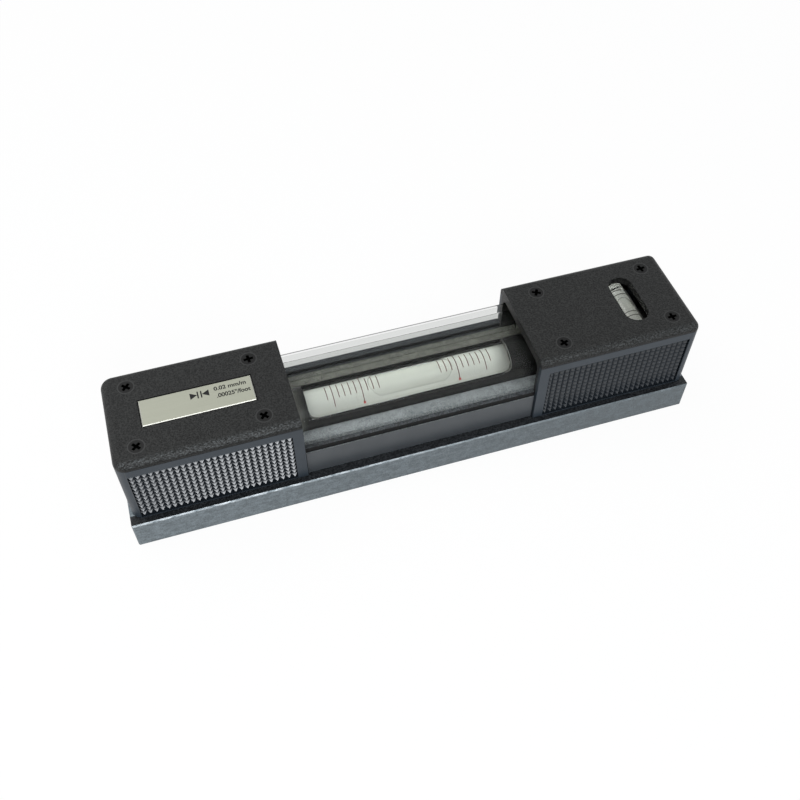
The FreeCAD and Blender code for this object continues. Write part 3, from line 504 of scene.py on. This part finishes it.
def ink_finish(name, dark, light):
    look = Look(name)
    fill = look.noise(2500.0, detail=3.0)
    look.surface(Base_Color=look.mix(fill, dark, light), Roughness=look.blend(fill, 0.4, 0.6),
                 Specular_IOR_Level=0.15)
    return look.material


def plain_finish(name, dark, light, metallic, smooth, coarse):
    """Small inner pieces: two tones of one colour under a faint grain."""
    look = Look(name)
    cloud = look.noise(600.0, detail=4.0)
    look.surface(Base_Color=look.mix(cloud, dark, light), Metallic=metallic,
                 Roughness=look.blend(cloud, smooth, coarse),
                 Normal=look.bump(cloud, distance=0.02 * MM, strength=0.3))
    return look.material


covers = cover_finish()
iron = iron_finish()
screws = screw_finish()
seal = seal_finish()
glass = vial_glass_finish()
liquid = liquid_finish()
liner = liner_finish()
ink = ink_finish("line_ink", (0.05, 0.012, 0.011), (0.12, 0.032, 0.028))
dark_ink = ink_finish("dark_line_ink", (0.02, 0.016, 0.015), (0.06, 0.05, 0.045))
brass = plain_finish("brass_plug", (0.5, 0.36, 0.13), (0.72, 0.55, 0.25),
                     metallic=1.0, smooth=0.25, coarse=0.4)
steel = plain_finish("plain_steel", (0.35, 0.35, 0.35), (0.6, 0.6, 0.6),
                     metallic=1.0, smooth=0.25, coarse=0.4)
holder = plain_finish("holder_plastic", (0.06, 0.06, 0.055), (0.1, 0.1, 0.092),
                      metallic=0.0, smooth=0.4, coarse=0.55)
plaster = plain_finish("seat_plaster", (0.6, 0.58, 0.52), (0.75, 0.73, 0.66),
                       metallic=0.0, smooth=0.6, coarse=0.8)

FINISHES = {
    "base_body": iron,
    "left_cover": covers,
    "right_cover": covers,
    "left_cover_screws": screws,
    "right_cover_screws": screws,
    "name_plate": plate_finish(),
    "clear_hood": acrylic_finish(),
    "hood_seal_front": seal,
    "hood_seal_back": seal,
    "carrier_tube": carrier_finish(),
    "carrier_pivot_plug": brass,
    "carrier_tongue_plug": brass,
    "pivot_pin": steel,
    "adjusting_washer": steel,
    "adjusting_screw": steel,
    "adjusting_spring": steel,
    "main_vial_glass": glass,
    "main_vial_liquid": liquid,
    "main_vial_backing": liner,
    "main_vial_graduations": ink,
    "vial_seat_left": plaster,
    "vial_seat_right": plaster,
    "cross_vial_holder": holder,
    "cross_vial_screws": steel,
    "cross_vial_glass": glass,
    "cross_vial_liquid": liquid,
    "cross_vial_backing": liner,
    "cross_vial_graduations": dark_ink,
}
for node_name, material in FINISHES.items():
    dress(node_name, material)


# ---------------------------------------------------------------- meshes

def new_object(name, data):
    item = bpy.data.objects.new(name, data)
    bpy.context.scene.collection.objects.link(item)
    return item


def mesh_piece(name, corners, faces, material, body):
    mesh = bpy.data.meshes.new(name)
    mesh.from_pydata(corners, [], faces)
    mesh.update()
    piece = new_object(name, mesh)
    mesh.materials.append(material)
    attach(piece, body)
    return piece


def node_copy(node_name, name):
    """A piece with a copy of a CAD node's mesh, in the node's place."""
    source = nodes[node_name]
    mesh = source.data.copy()
    mesh.transform(source.matrix_world)
    return new_object(name, mesh)


def ring_faces(rings, count):
    """Quads between neighbouring rings of count points, with both end rings closed."""
    faces = [tuple(reversed(range(count)))]
    for ring in range(rings - 1):
        start = ring * count
        for step in range(count):
            following = (step + 1) % count
            faces.append((start + step, start + following,
                          start + following + count, start + step + count))
    faces.append(tuple(range((rings - 1) * count, rings * count)))
    return faces


def smooth_piece(piece, sharp):
    """Smooth shading, with edges past the sharp angle in degrees kept crisp."""
    for face in piece.data.polygons:
        face.use_smooth = True
    piece.data.set_sharp_from_angle(angle=math.radians(sharp))


# ---------------------------------------------------------------- name plate print

def prism(outline, low, high):
    """Corners and faces of an upright prism: outline in millimetres, low and high in metres."""
    count = len(outline)
    corners = [(x * MM, y * MM, z) for z in (low, high) for x, y in outline]
    sides = [(i, (i + 1) % count, (i + 1) % count + count, i + count) for i in range(count)]
    return corners, [tuple(reversed(range(count))), tuple(range(count, 2 * count))] + sides


def join_prisms(prisms):
    corners, faces = [], []
    for part_corners, part_faces in prisms:
        start = len(corners)
        corners += part_corners
        faces += [tuple(start + index for index in face) for face in part_faces]
    return corners, faces


def rectangle(x, y, width, height):
    return [(x - width / 2, y - height / 2), (x + width / 2, y - height / 2),
            (x + width / 2, y + height / 2), (x - width / 2, y + height / 2)]


def centring_sign(surface, print_ink):
    """Two upright bars between two triangles that point at them."""
    bottom = surface - 0.01 * MM
    top = surface + 0.012 * MM
    # The sign's own sizes and place are in millimetres.
    sign_x = -68.95
    sign_y = 2.0
    bar_offset = 0.55
    bar_width = 0.42
    bar_height = 2.8
    tip = 0.76
    back = 3.05
    half_height = 1.3
    marks = []
    for side in (-1, 1):
        bar = rectangle(sign_x + side * bar_offset, sign_y, bar_width, bar_height)
        back_x = sign_x + side * back
        triangle = [(sign_x + side * tip, sign_y), (back_x, sign_y - half_height),
                    (back_x, sign_y + half_height)]
        if side < 0:
            triangle.reverse()
        marks += [prism(bar, bottom, top), prism(triangle, bottom, top)]
    corners, faces = join_prisms(marks)
    mesh_piece("plate_marks", corners, faces, print_ink, "base")


def plate_figure(name, text, surface, print_ink, x, y, width, height):
    """A line of print. Its centre x and y, its width and its height are in millimetres."""
    curve = bpy.data.curves.new(name, "FONT")
    curve.body = text
    curve.size = height * MM
    curve.align_x = "CENTER"
    curve.align_y = "CENTER"
    curve.offset = 0.06 * MM
    curve.extrude = 0.01 * MM
    figure = new_object(curve.name, curve)
    bpy.context.view_layer.update()
    figure.scale.x = width * MM / figure.dimensions.x
    figure.location = (x * MM, y * MM, surface)
    curve.materials.append(print_ink)
    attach(figure, "base")


def plate_print():
    """Generic marks: the centring sign and two plain sensitivity figures."""
    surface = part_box("name_plate")[1].z
    print_ink = ink_finish("plate_ink", (0.006, 0.006, 0.006), (0.02, 0.02, 0.02))
    centring_sign(surface, print_ink)
    plate_figure("plate_figures_1", "0.02 mm/m", surface, print_ink,
                 x=-59.0, y=2.8, width=10.4, height=2.2)
    plate_figure("plate_figures_2", '.00025"/foot', surface, print_ink,
                 x=-58.35, y=-0.2, width=10.9, height=2.3)


plate_print()


# ---------------------------------------------------------------- vials as they are seen

class Vial:
    """A vial of the frame, with the axes that its own pieces are drawn on."""

    def __init__(self, prefix, body, along_x):
        low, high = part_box(prefix + "_glass")
        self.prefix = prefix
        self.body = body
        self.along_x = along_x
        self.centre = (low + high) / 2
        self.radius = (high.z - low.z) / 2
        self.half_length = (high.x - low.x) / 2 if along_x else (high.y - low.y) / 2

    def point(self, along, across, up):
        """A point from the vial's own axes: along it, across it and up."""
        centre = self.centre
        if self.along_x:
            return (centre.x + along, centre.y + across, centre.z + up)
        return (centre.x - across, centre.y + along, centre.z + up)

    def clear_rod(self):
        """One clear rod in place of the tube and its liquid, whose parting is not seen."""
        bevel = 0.5 * MM
        count = 96
        half = self.half_length
        radius = self.radius
        profile = ((-half, radius - bevel), (-half + bevel, radius), (half - bevel, radius),
                   (half, radius - bevel))
        corners = []
        for along, reach in profile:
            for step in range(count):
                turn = 2 * math.pi * step / count
                corners.append(self.point(along, -reach * math.cos(turn), -reach * math.sin(turn)))
        piece = mesh_piece(self.prefix + "_rod", corners, ring_faces(len(profile), count), glass,
                           self.body)
        smooth_piece(piece, sharp=40.0)
        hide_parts(self.prefix + "_glass", self.prefix + "_liquid")

    def bubble(self, bore_radius, start, end, half_width, material):
        """A long bubble under the top of the bore: a segment of it that narrows at both ends."""
        stations = 81
        arc_points = 36
        # The end rings keep just short of the tips, where they would shrink to a line.
        tip_share = 0.999
        middle = (start + end) / 2
        half_length = (end - start) / 2
        corners = []
        for station in range(stations):
            share = math.sin(math.pi / 2 * (2 * station / (stations - 1) - 1))
            along = middle + share * half_length * tip_share
            to_tip = half_length - abs(along - middle)
            if to_tip < half_width:
                width = math.sqrt(half_width ** 2 - (half_width - to_tip) ** 2)
            else:
                width = half_width
            opening = math.asin(width / bore_radius)
            chord = bore_radius * math.cos(opening)
            arc = []
            floor_line = []
            for step in range(arc_points + 1):
                angle = opening * (2 * step / arc_points - 1)
                offset = bore_radius * math.sin(angle)
                arc.append((offset, bore_radius * math.cos(angle)))
                floor_line.append((-offset, chord))
            for across, up in arc + floor_line[1:-1]:
                corners.append(self.point(along, across, up))
        piece = mesh_piece(self.prefix + "_bubble", corners, ring_faces(stations, 2 * arc_points),
                           material, self.body)
        smooth_piece(piece, sharp=60.0)

    def zero_dots(self):
        """A red dot at the front end of each zero line of the main vial."""
        dot_ink = ink_finish("dot_ink", (0.30, 0.05, 0.045), (0.42, 0.09, 0.08))
        line_shift = 0.4 * MM
        zero_line = 17 * MM
        angle = math.radians(60)
        dot_radius = 0.46 * MM
        lift = 0.045 * MM
        segments = 24
        for side, name in ((-1, "zero_dot_left"), (1, "zero_dot_right")):
            corners = []
            for level in (0.0, lift):
                for step in range(segments):
                    turn = 2 * math.pi * step / segments
                    along = line_shift + side * zero_line + dot_radius * math.cos(turn)
                    around = angle + dot_radius * math.sin(turn) / self.radius
                    reach = self.radius + level
                    corners.append(self.point(along, -reach * math.sin(around),
                                              reach * math.cos(around)))
            mesh_piece(name, corners, ring_faces(2, segments), dot_ink, self.body)


def main_vial():
    vial = Vial("main_vial", "carrier", along_x=True)
    bore_radius = 4.95 * MM
    start = -14 * MM
    end = 16 * MM
    half_width = 4.2 * MM
    air = bubble_finish("main_vial_bubble", vial.centre.x + (start + end) / 2, vial.centre.y,
                        (end - start) / 2 - half_width, 0.0, half_width)
    vial.clear_rod()
    vial.bubble(bore_radius, start, end, half_width, air)
    vial.zero_dots()


def cross_vial():
    vial = Vial("cross_vial", "base", along_x=False)
    bore_radius = 2.85 * MM
    start = -3 * MM
    end = 3 * MM
    half_width = 2.3 * MM
    air = bubble_finish("cross_vial_bubble", vial.centre.x, vial.centre.y + (start + end) / 2,
                        0.0, (end - start) / 2 - half_width, half_width)
    vial.clear_rod()
    vial.bubble(bore_radius, start, end, half_width, air)


main_vial()
cross_vial()


# ---------------------------------------------------------------- seals and disc springs

def seal_strip(place):
    """A hood seal whose strip stops just short of the hood's foot, so that light reaches it."""
    node_name = "hood_seal_" + place
    hood_low, hood_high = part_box("clear_hood")
    foot = hood_low.z
    foot_edge = hood_high.y + 0.05 * MM
    gap = 0.08 * MM
    piece = node_copy(node_name, "seal_strip_" + place)
    for corner in piece.data.vertices:
        if abs(corner.co.z - foot) < 0.01 * MM and abs(corner.co.y) < foot_edge:
            corner.co.z -= gap
    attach(piece, "base")
    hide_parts(node_name)


def spring_stack():
    """The disc springs as a fixed piece of their own, in place of the CAD node, which is hidden."""
    piece = node_copy("adjusting_spring", "spring_stack")
    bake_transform(piece)
    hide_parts("adjusting_spring")


seal_strip("front")
seal_strip("back")
spring_stack()


# ---------------------------------------------------------------- floor, light and camera

def studio_floor():
    """White ground, seen as an even glow: straight on, in reflections and through clear pieces."""
    look = Look("studio_floor")
    matte = look.add("ShaderNodeBsdfDiffuse", {"Color": (0.9, 0.9, 0.9)})
    glow = look.add("ShaderNodeEmission", {"Color": (1.0, 1.0, 1.0), "Strength": 1.0})
    rays = look.add("ShaderNodeLightPath")
    most_glow = 0.94
    seen = look.plus(rays.outputs["Is Camera Ray"], rays.outputs["Is Glossy Ray"])
    seen = look.plus(seen, rays.outputs["Is Transmission Ray"])
    look.either(look.math("MINIMUM", seen, most_glow), matte, glow)

    half = 3.0
    drop = 0.02 * MM
    mesh = bpy.data.meshes.new("studio_floor")
    mesh.from_pydata([(-half, -half, 0), (half, -half, 0), (half, half, 0), (-half, half, 0)], [],
                     [(0, 1, 2, 3)])
    mesh.materials.append(look.material)
    floor = new_object("studio_floor", mesh)
    floor.location.z = -drop


def studio_world():
    """Cool white surroundings, dimmer as a light than as they are seen."""
    world = bpy.data.worlds.new("studio_world")
    bpy.context.scene.world = world
    world.use_nodes = True
    tree = world.node_tree
    tree.nodes.clear()
    output = tree.nodes.new("ShaderNodeOutputWorld")
    background = tree.nodes.new("ShaderNodeBackground")
    background.inputs["Color"].default_value = (0.96, 0.98, 1.0, 1.0)
    rays = tree.nodes.new("ShaderNodeLightPath")
    strength_as_light = 0.55
    strength_as_seen = 1.0
    strength = tree.nodes.new("ShaderNodeMapRange")
    strength.inputs["To Min"].default_value = strength_as_light
    strength.inputs["To Max"].default_value = strength_as_seen
    seen = rays.outputs["Is Camera Ray"]
    for kind in ("Is Glossy Ray", "Is Transmission Ray"):
        both = tree.nodes.new("ShaderNodeMath")
        both.operation = "MAXIMUM"
        tree.links.new(seen, both.inputs[0])
        tree.links.new(rays.outputs[kind], both.inputs[1])
        seen = both.outputs[0]
    tree.links.new(seen, strength.inputs["Value"])
    tree.links.new(strength.outputs[0], background.inputs["Strength"])
    tree.links.new(background.outputs[0], output.inputs["Surface"])


def lamp(name, direction, distance, width, height, power, colour=(1.0, 1.0, 1.0)):
    """A soft rectangular lamp that looks at the middle of the level."""
    data = bpy.data.lights.new(name, "AREA")
    data.shape = "RECTANGLE"
    data.size = width
    data.size_y = height
    data.energy = power
    data.color = colour
    item = new_object(name, data)
    way = Vector(direction).normalized()
    target = Vector((0.0, 0.0, 0.02))
    item.location = target + way * distance
    item.rotation_euler = (-way).to_track_quat("-Z", "Y").to_euler()
    return item


def window():
    """Two panes. They don't show through clear pieces, where streaks would cross the vial's lines."""
    daylight = (0.94, 0.97, 1.0)
    panes = [lamp("window_left_pane", (-0.05, -0.82, 0.57), distance=0.9, width=0.30, height=0.28,
                  power=3.2, colour=daylight),
             lamp("window_right_pane", (0.155, -0.82, 0.55), distance=0.9, width=0.045, height=0.28,
                  power=0.7, colour=daylight)]
    for pane in panes:
        pane.visible_transmission = False


def camera():
    """The photo's viewpoint, found by fitting the level's visible corners and edges."""
    data = bpy.data.cameras.new("camera")
    data.lens = 42.88
    data.sensor_width = 36.0
    item = new_object("camera", data)
    item.location = (-0.0648, -0.1958, 0.2802)
    looking_down = 52.2
    heading = 17.65
    roll = 0.29
    item.rotation_mode = "QUATERNION"
    tilt = Euler((math.radians(90 - looking_down), 0.0, -math.radians(heading)), "XYZ")
    spin = Euler((0.0, 0.0, math.radians(roll)), "XYZ")
    item.rotation_quaternion = tilt.to_quaternion() @ spin.to_quaternion()
    bpy.context.scene.camera = item


studio_floor()
studio_world()
window()
lamp("left_fill", (-0.8, -0.45, 0.5), distance=0.45, width=0.3, height=0.3, power=0.22)
lamp("overhead", (-0.45, 0.3, 0.85), distance=0.9, width=0.8, height=0.8, power=3.0)
camera()

bpy.context.scene.view_settings.view_transform = "Standard"
